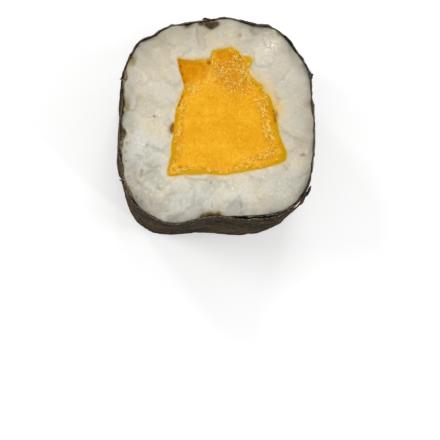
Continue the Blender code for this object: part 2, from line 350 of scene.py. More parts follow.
RICE_LOOP = rice_outline()
DIRECTIONS = shared_directions((RICE_LOOP, MANGO_LOOP), DIRECTION_COUNT)
COMPASS = np.column_stack([np.cos(DIRECTIONS), np.sin(DIRECTIONS)])
MANGO_RADIUS = polar(MANGO_LOOP, DIRECTIONS)
LUMPY = np.exp(-(((np.degrees(DIRECTIONS) - 140) / 32) ** 2))
MANGO_RADIUS += (0.12 + 0.16 * LUMPY) * rough(COMPASS * MANGO_RADIUS[:, None], 1.1, SEED + 60, 3)
RICE_RADIUS = polar(RICE_LOOP, DIRECTIONS)
print("rice is between", round((RICE_RADIUS - MANGO_RADIUS).min(), 1), "and",
      round((RICE_RADIUS - MANGO_RADIUS).max(), 1), "mm wide")

# %% [markdown]
# ## Cooked rice, pressed and cut
#
# In the roll the grains are stuck together by their own starch, and the knife smears the cut into
# one soft, milky surface. Separate grains could be scattered over it, but then it would look like
# a heap of them. So the cut is one height over the section: a soft maximum of seeded grains, the
# starch between them, and the plane of the knife, which takes the top off every grain that
# stands above it.

# %% Scatter the grains
GRAIN_SPACING = 2.15
GRAIN_DARTS = 9000
GRAIN_HALF_LENGTH = (1.7, 3.1)
GRAIN_HALF_WIDTH = (1.35, 1.75)
GRAIN_TOP = (-0.42, 0.55)
GRAIN_SLOPE = (-0.10, 0.10)
GRAIN_ROUNDNESS = (0.75, 1.25)
GRAIN_BLEND = 0.14
TONE_BLEND = 0.12
FIELD_HALF = 14.5
INNER_MARGIN = 0.6
OUTER_MARGIN = 0.3


def scatter_grains(seed):
    """Darts thrown at the ring of rice: one that lands too close to an earlier one is dropped."""
    source = np.random.default_rng(seed)
    darts = source.uniform(-FIELD_HALF, FIELD_HALF, (GRAIN_DARTS, 2))
    kept = np.zeros((0, 2))
    bearing = np.arctan2(darts[:, 1], darts[:, 0])
    inner = polar(MANGO_LOOP, bearing) - INNER_MARGIN
    outer = polar(RICE_LOOP, bearing) + OUTER_MARGIN
    reach = np.hypot(darts[:, 0], darts[:, 1])
    for dart in darts[(reach > inner) & (reach < outer)]:
        if len(kept) == 0 or np.hypot(*(kept - dart).T).min() > GRAIN_SPACING:
            kept = np.vstack([kept, dart])
    count = len(kept)
    return {
        "centre": kept,
        "turn": source.uniform(0, math.pi, count),
        "half_length": source.uniform(*GRAIN_HALF_LENGTH, count),
        "half_width": source.uniform(*GRAIN_HALF_WIDTH, count),
        "top": source.uniform(*GRAIN_TOP, count),
        "slope": source.uniform(*GRAIN_SLOPE, (count, 2)),
        "round": source.uniform(*GRAIN_ROUNDNESS, count),
        "tone": source.uniform(-1, 1, count),
    }


def soft_maximum(heights, blend):
    """blend * log of the sum of exp(height / blend), over the last axis."""
    return blend * np.log(np.exp(heights / blend).sum(axis=-1))


def grain_heights(spots, grains):
    """Each grain is a dome, its top less its roundness times (along/a)² + (across/b)²."""
    offset = spots[..., None, :] - grains["centre"]
    turn = grains["turn"]
    along = (offset[..., 0] * np.cos(turn) + offset[..., 1] * np.sin(turn)) / grains["half_length"]
    across = (offset[..., 1] * np.cos(turn) - offset[..., 0] * np.sin(turn)) / grains["half_width"]
    dome = grains["top"] + (offset * grains["slope"]).sum(axis=-1)
    dome = dome - grains["round"] * (along**2 + across**2)
    weight = np.exp((dome - dome.max(axis=-1, keepdims=True)) / TONE_BLEND)
    weight /= weight.sum(axis=-1, keepdims=True)
    return soft_maximum(dome, GRAIN_BLEND), weight @ grains["tone"], (weight**2).sum(axis=-1)


# %% Lay out one cut of rice
RICE_ROWS = 48
HAIR = 0.004
MANGO_TOP = -0.08
BAND_DROP = 0.16
# where the knife left the grains open: (x, y, radius, height)
OPENED = (
    (-10.6, -7.5, 3.0, 0.9), (-8.5, -11.2, 3.0, 0.9), (-3.0, -11.6, 2.4, 0.7),
    (2.6, -11.9, 2.0, 0.6), (-11.5, 3.0, 1.6, 0.4), (10.2, -8.5, 1.8, 0.5), (-2.0, 11.5, 2.2, 0.4))
# holes, most of them beside the nori: (x, y, radius, depth)
HOLES = [
    (-11.6, 8.1, 0.55, 0.35), (-12.3, 1.9, 0.6, 0.4), (-12.9, 1.1, 0.25, 0.7),
    (-12.6, -2.0, 0.5, 0.45), (-4.1, 13.0, 0.45, 0.6), (3.3, -12.8, 0.35, 0.4),
    (5.3, 12.2, 0.4, 0.3), (3.15, 11.6, 0.3, 0.2), (-9.9, -7.6, 0.3, 0.25),
    (11.75, -4.7, 0.22, 0.2), (3.3, -11.6, 0.25, 0.2), (-2.1, 13.35, 0.5, 0.8),
    (-1.2, 13.2, 0.5, 0.9), (-0.4, 13.1, 0.5, 1.0), (-0.75, 12.8, 0.35, 0.6),
    (0.1, 13.25, 0.35, 0.7), (-1.9, -13.2, 0.5, 0.15), (-0.9, -13.2, 0.5, 0.2),
    (0.2, -13.1, 0.5, 0.15)]
# long holes, and creases between grains that the knife didn't close: (start, end, radius, depth)
HOLE_LINES = (
    ((-4.9, 3.1), (-5.7, 2.0), 0.15, 0.3), ((8.05, 1.3), (8.25, 0.3), 0.22, 0.5),
    ((-5.95, -0.5), (-6.12, -1.7), 0.35, 0.85), ((-10.4, -4.3), (-9.3, -4.7), 0.16, 0.2))
CREASE_LINES = (
    ((-10.1, -6.5), (-10.3, -8.0), 0.26, 1.2), ((-11.4, -4.7), (-10.2, -4.9), 0.16, 0.8),
    ((-12.1, -7.3), (-11.3, -9.0), 0.16, 0.6), ((-9.6, -3.2), (-9.2, -3.6), 0.14, 0.5),
    ((-8.2, -9.0), (-7.6, -9.4), 0.18, 0.5), ((-9.0, -10.9), (-8.9, -11.9), 0.13, 0.8),
    ((-0.7, -11.2), (-0.6, -12.0), 0.13, 0.8), ((3.2, -11.3), (3.4, -12.0), 0.13, 0.6),
    ((11.3, -4.7), (12.2, -4.8), 0.14, 0.8), ((-7.4, -12.4), (-6.0, -12.2), 0.18, 0.5),
    ((-11.9, 4.7), (-11.2, 3.2), 0.3, 0.4), ((-9.9, -5.8), (-8.8, -6.4), 0.2, 0.3),
    ((-4.6, 11.6), (-3.4, 11.9), 0.2, 0.3), ((8.2, 10.0), (9.4, 9.2), 0.18, 0.3),
    ((5.2, -10.6), (6.6, -10.9), 0.16, 0.3), ((-5.6, -10.8), (-4.6, -11.6), 0.2, 0.4))
# dark specks, nori that has rubbed off on the rice, and where the cut lies in its own shade
SPECKS = (
    (3.15, 11.6, 0.32, 0.6), (-8.5, 0.5, 0.2, 1.0), (-0.8, -8.5, 0.13, 1.0), (9.45, -6.6, 0.3, 0.4),
    (9.2, -6.2, 0.2, 0.4), (-10.6, -8.5, 0.2, 0.5), (-12.2, -3.2, 0.16, 0.8),
    (-12.45, -4.4, 0.15, 0.9), (-12.3, -5.6, 0.14, 0.8), (11.9, -4.6, 0.12, 0.8),
    (11.4, -4.8, 0.12, 0.6), (-9.3, -3.1, 0.2, 0.3), (-10.9, -10.4, 0.2, 0.8),
    (-10.2, -11.0, 0.2, 0.7), (6.0, -8.4, 0.15, 0.3), (-4.9, -10.9, 0.2, 0.25))
STAINS = (
    (-11.3, 8.0, 1.1, 0.8), (-10.2, 6.8, 0.9, 0.3), (-12.2, 1.9, 1.0, 0.8), (-11.4, 1.2, 0.9, 0.3),
    (-12.5, -1.7, 0.9, 0.8), (-12.6, 5.0, 0.5, 0.5), (-12.3, -4.2, 0.5, 0.7),
    (-12.0, -6.0, 0.4, 0.6), (-11.6, -9.2, 0.6, 0.8), (-9.3, -12.6, 0.4, 0.7),
    (-1.9, -13.0, 0.6, 1.1), (-0.9, -12.9, 0.6, 1.2), (0.2, -12.9, 0.6, 1.1),
    (-6.0, -12.9, 0.4, 0.6), (7.4, -11.9, 0.4, 0.5), (-3.6, 12.9, 0.6, 0.5), (-8.6, 10.9, 0.5, 0.3))
DIM = (
    (-5.5, 12.6, 3.2, 0.7), (-9.5, 9.6, 3.0, 0.6), (-1.0, 12.2, 2.8, 0.55), (-12.0, 4.5, 1.6, 0.8),
    (6.0, 12.5, 2.5, 0.5), (-9.0, -6.2, 0.9, 0.9), (-10.6, -7.4, 1.0, 0.6), (11.5, 4.0, 4.0, 0.45),
    (11.5, -3.0, 4.0, 0.45), (9.5, 9.5, 3.0, 0.25), (9.0, -10.2, 3.0, 0.4))
# where the rice is bluer, where it glistens with gloss and painted white glints, and where it
# leans to yellow or away from it
CHILLED = ((-10.5, -5.0, 4.8, 1.2), (-11.0, 2.0, 3.0, 0.3))
GLOSS_AND_PAINTED_GLINTS = (
    (7.4, 10.6, 1.7, 0.9), (8.8, -9.4, 2.0, 0.45), (11.4, 3.4, 1.3, 0.45), (-10.6, 5.4, 1.5, 0.4),
    (-9.6, -3.4, 1.6, 0.35), (2.0, -9.5, 1.5, 0.3))
TINTED = (
    (0.5, 11.6, 4.5, 1.8), (-8.0, 6.0, 3.5, 1.2), (-8.5, -1.0, 3.0, 1.1), (9.0, 8.5, 3.5, -0.8),
    (11.8, -1.0, 3.0, -0.4), (-4.0, -10.5, 2.5, -0.5), (-9.0, -6.5, 3.0, -0.6))
NO_PITS = ((0.0, 0.0, 1.0, 0.0),)
LINE_HUMPS = 5

SHOULDER_WIDTH = 1.6
SHOULDER_DROP = 0.42
STARCH_LEVEL = -0.25
STARCH_BLEND = 0.12
KNIFE_WAVE = 0.08
KNIFE_BLEND = 0.10
CAVITY_DEPTH = 0.7
MEETING_WIDTH = 0.6
MOAT_DEPTH = 0.22
MOAT_EDGE = 0.16
GROOVE_DEPTH = 0.4
SMEAR = 0.035


def along_lines(lines):
    """A row of humps on each line, widest and deepest in the middle."""
    share = np.linspace(0, 1, LINE_HUMPS)[:, None]
    wide = 0.6 + 0.4 * np.sin(math.pi * share)
    places = []
    for start, end, radius, depth in lines:
        spots = np.array(start) + (np.array(end) - np.array(start)) * share
        places += np.column_stack([spots, radius * wide, depth * wide * 0.6]).tolist()
    return places


PITS = HOLES + along_lines(HOLE_LINES)
CREASES = along_lines(CREASE_LINES)


def rice_cut(seed, pits, level):
    """Height above the knife's plane, and masks, over rows from the mango's edge to the nori."""
    share = np.linspace(0, 1, RICE_ROWS)
    share = 0.55 * share + 0.45 * smooth_step(share)
    outer = RICE_RADIUS + sagged(DIRECTIONS, level)
    shrunk = sum(far * swell(np.degrees(DIRECTIONS), angle, width) for angle, far, width in SHRUNK)
    shrunk = shrunk + 0.16 * rough(COMPASS * RICE_RADIUS[:, None], 1.2, seed + 15, 3)
    radius = MANGO_RADIUS + HAIR + (outer - MANGO_RADIUS - HAIR) * share[:, None]
    spots = radius[..., None] * COMPASS
    x, y = spots[..., 0], spots[..., 1]
    warp = np.stack([rough(spots, 1.9, seed + 8, 3), rough(spots, 1.9, seed + 9, 3)], axis=-1)
    opened = np.clip(humps(spots, OPENED) + 0.35 * rough(spots, 2.6, seed + 10, 2), 0.28, 1)
    height, tone, alone = grain_heights(spots + 0.8 * warp, scatter_grains(seed))
    height = height + 0.30 - 0.55 * opened
    starch = STARCH_LEVEL - 0.35 * opened + 0.15 * noise(spots, 3.1, seed + 1)
    height = soft_maximum(np.stack([height, starch], axis=-1), STARCH_BLEND)
    knife = KNIFE_WAVE * noise(spots, 6.5, seed + 2)
    height = -soft_maximum(np.stack([-height, -knife], axis=-1), KNIFE_BLEND)
    # how deep the cut lies below the knife's plane, for painted shade in these hollows
    cavity_shade = np.clip((knife - height) / CAVITY_DEPTH, 0, 1)
    to_nori = outer - radius
    to_mango = radius - MANGO_RADIUS
    width = SHOULDER_WIDTH * (1 + 0.45 * noise(spots, 2.3, seed + 3))
    drop = SHOULDER_DROP * (1 + 0.9 * noise(spots, 1.9, seed + 5))
    height -= drop * np.clip(1 - to_nori / width, 0, 1) ** 2
    meeting = np.clip(1 - to_mango / MEETING_WIDTH, 0, 1) ** 1.5
    height += (MANGO_TOP - BAND_DROP + 0.03 - height) * meeting
    # where the rice stands back from the nori at the top; the colour paints shade in this moat
    moat_and_shade = smooth_step((shrunk - to_nori) / MOAT_EDGE + 0.3)
    height -= MOAT_DEPTH * moat_and_shade
    # creases the knife left open, which the colour paints with shade
    groove_and_shade = marks(spots + 0.12 * warp, CREASES)
    right = smooth_step((x - 1) / 6) * smooth_step((9.5 - y) / 3) * smooth_step((y + 2.5) / 5)
    juice = np.clip(1 - to_mango / (0.8 + 1.7 * right), 0, 1) * (0.5 + 0.4 * right)
    height -= humps(spots, pits) + GROOVE_DEPTH * groove_and_shade
    height += SMEAR * rough(spots, 1.1, seed + 4, 3)
    # cavity, crease, groove, moat and pit carry painted shade into the colour, and glint painted
    # highlights
    masks = {
        "grain_tone": tone,
        "crease_shade": (1 - smooth_step((alone - 0.4) / 0.5)) * opened,
        "cavity_shade": cavity_shade,
        "moat_and_shade": moat_and_shade,
        "groove_and_shade": groove_and_shade,
        "speck": marks(spots, SPECKS),
        "to_nori": np.clip(to_nori, 0, 9),
        "to_mango": np.clip(to_mango, 0, 9),
        "shaded_pit": marks(spots, pits),
        "stain": marks(spots, STAINS),
        "juice": juice,
        "tint": humps(spots, TINTED),
        "gloss_and_painted_glint": marks(spots, GLOSS_AND_PAINTED_GLINTS),
        "cool": np.clip(smooth_step((-5.5 - y) / 5) + humps(spots, CHILLED), 0, 1),
        "dim": marks(spots, DIM),
    }
    return spots, np.minimum(height - 0.02, 0.0), masks


# %% Join the two cuts into the ring of rice
WALL_LEVELS = np.linspace(0, 1, 6)[1:-1]


def rice_ring():
    """Rows go over the top cut, down the outer wall, back over the bottom cut and up the inner wall."""
    top_spots, top_height, top_masks = rice_cut(SEED, PITS, ROLL_LENGTH)
    low_spots, low_height, low_masks = rice_cut(SEED + 50, NO_PITS, 0.0)
    top = np.dstack([top_spots, ROLL_LENGTH + top_height])
    bottom = np.dstack([low_spots, -low_height])[::-1]
    levels = WALL_LEVELS[:, None, None]
    outer = top[-1] + (bottom[0] - top[-1]) * levels
    inner = bottom[-1] + (top[0] - bottom[-1]) * levels
    points = np.concatenate([top, outer, bottom, inner])
    piece = closed_surface("cooked_rice", points, wrap_rows=True)
    for name, top_mask in top_masks.items():
        wall = np.zeros((len(WALL_LEVELS), DIRECTION_COUNT))
        paint(piece, name, np.concatenate([top_mask, wall, low_masks[name][::-1], wall]))
    return piece


rice = rice_ring()

# %% [markdown]
# ## The bar of mango
#
# Mango is soft, so the knife drags at its edge: the flat of the cut ends in a wet, crumbled crest,
# and outside it a band about a millimetre wide slopes down to the rice. Near the narrow end the
# flesh has come away in two smooth scoops, with a torn patch between them and the right side. The
# surface is a disc of rows round the axis, at each end, joined by a wall, with a pole in the
# middle of each disc.

# %% Work out the mango's cut
MANGO_ROWS = 66
BAND_WIDTH = 0.75
CRUMB_TOP = 0.16
MARK_DIP = 0.12
RUN_OUT_WIDTH = 0.6
FIBRE_WAVE = 0.014
# scoops: (x, y, half width, half depth, how deep)
SCOOPS = ((-3.9, 6.8, 2.2, 1.65, 0.75), (0.8, 9.0, 1.25, 0.75, 0.6))
# brown marks: real bruises, and painted shade along the mango's edge where rice overhangs it:
# (x, y, radius, how much)
BRUISES_AND_EDGE_SHADE = (
    (-5.0, -6.4, 0.30, 0.7), (-1.05, 7.85, 0.32, 1.2), (-3.1, 7.2, 0.3, 0.4), (6.9, 1.9, 0.25, 0.5),
    (-2.5, 2.2, 0.2, 0.15), (0.6, 5.4, 0.2, 0.3), (7.75, 1.3, 0.2, 0.8), (7.9, 0.75, 0.24, 0.9),
    (8.0, 0.3, 0.24, 1.0), (8.02, -0.1, 0.22, 0.8), (-4.9, 7.4, 0.24, 0.9), (-4.72, 6.3, 0.24, 0.9),
    (-4.45, 5.2, 0.22, 0.9), (-4.75, 3.15, 0.2, 0.8), (-5.0, 2.65, 0.22, 1.0),
    (-5.25, 2.1, 0.22, 1.1))
# where the knife tore the flesh, where its cells are broken and pale, and where it ran smoothly
RAGGED = ((2.2, 6.6, 2.2, 1.0), (3.2, 5.2, 1.3, 0.8), (0.4, 7.0, 1.3, 0.7), (2.4, 8.6, 1.0, 0.9))
BROKEN = ((-3.0, 4.6, 1.1, 0.8), (-1.3, 5.7, 1.1, 0.8))
CALM = ((8.9, -4.7, 1.5, 1.0),)
NO_SCOOPS = ((9.0, 9.0, 0.1, 0.1, 0.0),)
LOW_RAGGED = ((1.0, -2.0, 2.0, 0.4),)


def edge_distance(spots, loop):
    """The distance from each spot to the nearest point of the loop."""
    flat = spots.reshape(-1, 2)
    nearest = np.full(len(flat), 1e9)
    for part in np.array_split(loop, 12):
        away = np.hypot(flat[:, 0, None] - part[:, 0], flat[:, 1, None] - part[:, 1])
        nearest = np.minimum(nearest, away.min(axis=1))
    return nearest.reshape(spots.shape[:-1])


def oval(spots, places):
    """Each oval of (x, y, half width, half depth, how much) is full in its middle and falls to 0."""
    total = np.zeros(spots.shape[:-1])
    for x, y, half_width, half_depth, amount in places:
        away = np.hypot((spots[..., 0] - x) / half_width, (spots[..., 1] - y) / half_depth)
        away = away + 0.30 * rough(spots, 1.0, SEED + 90, 3)
        total = np.maximum(total, amount * smooth_step(1.5 - away))
    return total


def mango_cut(seed, scoops, ragged):
    """Height against the rice's plane, and masks, over rows from the middle to the edge."""
    share = np.linspace(0.012, 1, MANGO_ROWS)
    share = 1 - (1 - share) ** 1.25
    spots = (MANGO_RADIUS * share[:, None])[..., None] * COMPASS
    x, y = spots[..., 0], spots[..., 1]
    edge = edge_distance(spots, MANGO_LOOP)
    wander = edge + 0.28 * noise(spots, 1.3, seed) + 0.12 * noise(spots, 0.5, seed + 1)
    right = smooth_step((x - 2.5) / 4) * smooth_step((y + 6.2) / 1.5)
    left = smooth_step((-3.5 - x) / 2) * smooth_step((y + 6.5) / 2)
    width = BAND_WIDTH * (1 + 0.9 * right + 0.35 * left)
    band = 1 - smooth_step(wander / width)
    crest = np.exp(-(((wander - width) / (0.5 * width)) ** 2))
    hollow = oval(spots, scoops)
    torn = marks(spots, ragged) * (1 - hollow)
    bruise_and_edge_shade = marks(spots, BRUISES_AND_EDGE_SHADE)
    height = MANGO_TOP + 0.05 * noise(spots, 4.2, seed + 2) - BAND_DROP * band
    run_out = (1 - smooth_step(edge / RUN_OUT_WIDTH)) * smooth_step((x + 4.9) / 0.8)
    height -= hollow * (1 - 0.8 * run_out)
    height -= MARK_DIP * bruise_and_edge_shade
    grain = rough(spots, 0.62, seed + 3, 3)
    height += grain * (0.022 + 0.20 * torn + 0.17 * crest * (1 - hollow) + 0.12 * hollow)
    stretched = spots * np.array([1.0, 0.3])
    height += FIBRE_WAVE * noise(stretched, 0.34, seed + 7) * (1 - hollow)
    masks = {
        "band": band,
        "crest": crest * (1 - hollow),
        "hollow": hollow,
        "torn": torn,
        "bruise_and_edge_shade": bruise_and_edge_shade,
        # the band is yellower towards the top and the bottom of the cut
        "yellower_band": band * (smooth_step((y + 0.3 * x - 6.0) / 1.5) + 0.5 * smooth_step(-5.5 - y)),
        "broken": marks(spots, BROKEN) * (1 - hollow),
        "olive": band * marks(spots, CALM),
    }
    return spots, np.minimum(height, CRUMB_TOP), masks


# %% Join its two cuts with a wall


def mango_bar():
    """Rows go from the middle of the bottom cut to its edge, up the wall and in to the middle."""
    top_spots, top_height, top_masks = mango_cut(SEED + 20, SCOOPS, RAGGED)
    low_spots, low_height, low_masks = mango_cut(SEED + 80, NO_SCOOPS, LOW_RAGGED)
    top = np.dstack([top_spots, ROLL_LENGTH + top_height])[::-1]
    bottom = np.dstack([low_spots, 0.05 + np.maximum(-low_height, 0)])
    wall = bottom[-1] + (top[0] - bottom[-1]) * WALL_LEVELS[:, None, None]
    piece = closed_surface("mango_bar", np.concatenate([bottom, wall, top]), poles=True)
    for name, top_mask in top_masks.items():
        plain = np.full((len(WALL_LEVELS), DIRECTION_COUNT), float(name == "band"))
        paint(piece, name, np.concatenate([low_masks[name], plain, top_mask[::-1]]))
    return piece


mango = mango_bar()

# %% [markdown]
# ## Broken flesh along the edge
#
# Where the knife dragged, short wet fibres of mango stand up from the crest and from the torn
# part, and each one glints; some are painted pale, partly as broken flesh and partly as painted
# sparkle. They are real little strands, because a pattern in the material doesn't catch the light
# from the side. There are over a thousand, so each has only a few faces, and all of them are worked
# out together in one array of strands × rings × sides.

# %% Scatter the strands
STRAND_COUNT = 1200
STRAND_RINGS = 5
STRAND_SIDES = 6
STRAND_LENGTH = (0.25, 0.85)
STRAND_RADIUS = (0.030, 0.075)
STRAND_BEND = (-0.5, 0.5)
STRAND_ARCH = (0.02, 0.14)
STRAND_RISE = (-0.3, 0.3)


def strand_places(seed):
    """Spots, likeliest on the crest and where the cut is torn, with a direction and a size each."""
    source = np.random.default_rng(seed)
    spots, height, masks = mango_cut(SEED + 20, SCOOPS, RAGGED)
    torn = masks["torn"]
    ring_area = np.hypot(spots[..., 0], spots[..., 1])
    calm = np.clip(humps(spots, CALM) + 3 * masks["hollow"] + 2 * masks["bruise_and_edge_shade"], 0, 1)
    chance = masks["crest"] ** 1.5 * (0.35 + 1.0 * smooth_step((spots[..., 0] - 1) / 6)) + 0.75 * torn
    chance = (chance + 0.3 * masks["broken"]) * (1 - calm)
    chance = chance * smooth_step(0.6 + 1.1 * noise(spots, 0.8, seed)) * ring_area
    picked = source.choice(chance.size, STRAND_COUNT, replace=False, p=chance.ravel() / chance.sum())
    flat = np.column_stack([spots.reshape(-1, 2), height.ravel()])
    rim = COMPASS * MANGO_RADIUS[:, None]
    step = np.roll(rim, -1, axis=0) - np.roll(rim, 1, axis=0)
    course = np.arctan2(step[:, 1], step[:, 0])[picked % DIRECTION_COUNT]
    loose = 0.6 + 1.2 * torn.ravel()[picked]
    size = 1 - 0.2 * torn.ravel()[picked]
    return flat[picked], course + loose * source.standard_normal(STRAND_COUNT), size, source


def strands(name, seed):
    """A strand is a ring of radius r * sin(πu)^0.7 carried along a short arc that lies on the cut."""
    middle, turn, size, source = strand_places(seed)
    length = source.uniform(*STRAND_LENGTH, STRAND_COUNT) * size
    radius = source.uniform(*STRAND_RADIUS, STRAND_COUNT) * size
    bend, arch, rise = (source.uniform(*span, STRAND_COUNT)
                        for span in (STRAND_BEND, STRAND_ARCH, STRAND_RISE))
    u = np.linspace(0.04, 0.96, STRAND_RINGS)[None, :, None]
    side = np.linspace(0, 2 * math.pi, STRAND_SIDES, endpoint=False)[None, None, :]

    def each(values):
        return values[:, None, None]

    along = (u - 0.5) * each(length)
    ring = each(radius) * np.sin(math.pi * u) ** 0.7
    across = each(bend) * (4 * (u - 0.5) ** 2) * each(length) + ring * np.cos(side)
    up = each(arch) * np.sin(math.pi * u) + along * each(rise) + ring * np.sin(side)
    x = each(middle[:, 0]) + along * np.cos(each(turn)) - across * np.sin(each(turn))
    y = each(middle[:, 1]) + along * np.sin(each(turn)) + across * np.cos(each(turn))
    z = ROLL_LENGTH + each(middle[:, 2]) + up
    points = np.stack(np.broadcast_arrays(x, y, z), axis=-1).reshape(-1, 3)
    grid = np.arange(STRAND_RINGS * STRAND_SIDES).reshape(STRAND_RINGS, STRAND_SIDES)
    grid = np.column_stack([grid, grid[:, 0]])
    start = (np.arange(STRAND_COUNT) * STRAND_RINGS * STRAND_SIDES)[:, None, None]
    walls = (start + quads_between(grid)).reshape(-1, 4)
    caps = [start[:, 0] + grid[0, -2::-1], start[:, 0] + grid[-1, :-1]]
    faces = walls.tolist() + caps[0].tolist() + caps[1].tolist()
    piece = solid(name, points, facing_out(faces, points - points.mean(axis=0), walls))
    paint(piece, "pale_and_painted_sparkle", np.repeat(source.uniform(0, 1, STRAND_COUNT), STRAND_RINGS * STRAND_SIDES))
    return piece


fibres = strands("mango_fibres", SEED + 70)

# %% [markdown]
# ## The sheet of nori
#
# One sheet goes once round the rice and laps over its own start. It could be a plane that is
# bent and given thickness by a modifier, but its two faces differ: nori is thicker in one place
# than in another, and its cut rims are ragged. So each column of the grid is a closed loop over
# the sheet's own section, up the outer face and down the inner one, and the columns run along the
# sheet from its tucked start to its torn end.

# %% Work out the sheet
SHEET_COLUMNS = 660
OUTER_ROWS = 100
INNER_ROWS = 26
TORN_LENGTH = 2.6
CHIP_COUNT = 26
CHIP_WIDTH = (0.15, 0.5)
CHIP_DEPTH = (0.08, 0.40)
TORN_DEPTH = 0.75
RIM_WAVE = 0.13
CURL_HEIGHT = 0.9
THINNING = 1.2


def end_crowded(count):
    """Shares from 0 to 1 that lie closer together near both ends: u - 0.62 sin(2πu) / 2π."""
    even = np.linspace(0, 1, count)
    return even - 0.62 * np.sin(2 * math.pi * even) / (2 * math.pi)


def rim_chips(along, seed):
    """Small bites out of the rim: depth * exp(-(distance along / width)^4)."""
    source = np.random.default_rng(seed)
    centre = source.uniform(0, AROUND + NORI_OVERLAP, CHIP_COUNT)
    width = source.uniform(*CHIP_WIDTH, CHIP_COUNT)
    depth = source.uniform(*CHIP_DEPTH, CHIP_COUNT)
    away = (along[:, None] - centre) / width
    return (depth * np.exp(-(away**4))).sum(axis=1)


def round_roll(spots):
    """Places on the sheet as spots on a cylinder, so that noise has no seam where the layers meet."""
    angle = spots[..., 0] / AROUND * 2 * math.pi
    radius = AROUND / (2 * math.pi)
    return np.stack([radius * np.cos(angle), radius * np.sin(angle), spots[..., 1]], axis=-1)


def nori_sheet():
    """Columns along the sheet, each a loop up the outer face and down the inner face."""
    total = AROUND + NORI_OVERLAP
    along = np.linspace(0, total, SHEET_COLUMNS)
    up = end_crowded(OUTER_ROWS)
    down = end_crowded(INNER_ROWS)[::-1]
    share = np.concatenate([up, down])
    side = np.concatenate([np.full(OUTER_ROWS, 0.5), np.full(INNER_ROWS, -0.5)])
    place = np.stack(np.broadcast_arrays(along[:, None], share[None] * ROLL_LENGTH), axis=-1)
    # the torn end: columns near it are pulled back by a ragged length
    up_end = place[..., 1:]
    torn = 0.5 + 0.5 * noise(up_end, 1.1, SEED + 31) + 0.5 * noise(up_end, 0.4, SEED + 32)
    near_end = smooth_step(1 - (total - along) / TORN_LENGTH)[:, None]
    run = along[:, None] - np.clip(torn, 0, 2) * TORN_DEPTH * near_end
    # heights: each column ends at its own ragged rim
    line = np.column_stack([along, np.zeros_like(along)])
    high = ROLL_LENGTH - NORI_INSET + RIM_WAVE * rough(line, 0.9, SEED + 33)
    high -= rim_chips(along, SEED + 34)
    low = 0.06 + 0.10 * (1 + noise(line, 0.8, SEED + 35)) + rim_chips(along, SEED + 36)
    height = low[:, None] + (high - low)[:, None] * share
    # where the sheet lies, against the roll's outline
    place = np.stack([run, height], axis=-1)
    on_roll = round_roll(place)
    # waves, then wrinkles, which are sharp where the noise is 0
    lift = 0.06 * noise(on_roll, 7.0, SEED + 37) + 0.06 * noise(on_roll, 3.2, SEED + 38)
    lift += 0.035 * (1 - 2 * np.abs(noise(on_roll, 1.5, SEED + 39)))
    lift += 0.020 * (1 - 2 * np.abs(noise(on_roll, 0.7, SEED + 40)))
    lift -= TUCK_DEPTH * smooth_step(1 - run / TUCK_LENGTH)
    lift += FLAP * smooth_step(1 - (total - run) / FLAP_LENGTH)
    to_rim = np.minimum(ROLL_LENGTH - height, height)
    curl = 0.10 * noise(on_roll, 1.4, SEED + 41) + 0.11 * noise(on_roll, 0.55, SEED + 42)
    lift += curl * np.exp(-((to_rim / CURL_HEIGHT) ** 2))
    thickness = NORI_THICKNESS * (0.95 + 0.6 * rough(on_roll, 1.1, SEED + 43, 2))
    thickness = thickness * (1 - 0.45 * smooth_step(1 - (total - run) / THINNING))
    at = run / AROUND * LOOP_POINTS
    grid = np.arange(LOOP_POINTS)
    bearing = np.unwrap(np.arctan2(ROLL_LOOP[:, 1], ROLL_LOOP[:, 0]))
    lift += sagged(np.interp(at % LOOP_POINTS, grid, bearing), height)
    offset = lift - NORI_THICKNESS / 2 + side * thickness
    # from the flat sheet to the roll
    facing = outward(ROLL_LOOP)
    base = [np.interp(at, grid, ROLL_LOOP[:, axis], period=LOOP_POINTS) for axis in (0, 1)]
    out = [np.interp(at, grid, facing[:, axis], period=LOOP_POINTS) for axis in (0, 1)]
    points = np.stack([base[0] + out[0] * offset, base[1] + out[1] * offset, height], axis=-1)
    piece = closed_surface("nori_sheet", points)
    cut = np.zeros_like(to_rim)
    cut[:, [0, OUTER_ROWS - 1, OUTER_ROWS, -1]] = 1
    paint(piece, "cut", cut)
    return piece


nori = nori_sheet()

# %% [markdown]
# ## Flakes on the rim
#
# The knife tears a few flakes out of the rim, and they stand away from it. Each is a flattened
# tube that tapers at both ends, bent a little outwards.

# %% Make the flakes
FLAKES = (
    (-12.95, 6.1, 1.5, 0.5), (-13.45, -4.2, 1.1, 0.45), (-1.1, 13.75, 1.9, 0.55),
    (13.05, 6.2, 0.9, 0.5), (12.2, -9.7, 2.2, 0.75), (11.7, -11.0, 1.8, 0.7),
    (-12.7, -8.3, 1.0, 0.3), (4.5, 13.2, 1.1, 0.3))
FLAKE_ROWS = 13
FLAKE_COLUMNS = 18
FLAKE_ROOT = 0.15
FLAKE_SINK = 0.45
FLAKE_THICKNESS = 0.05


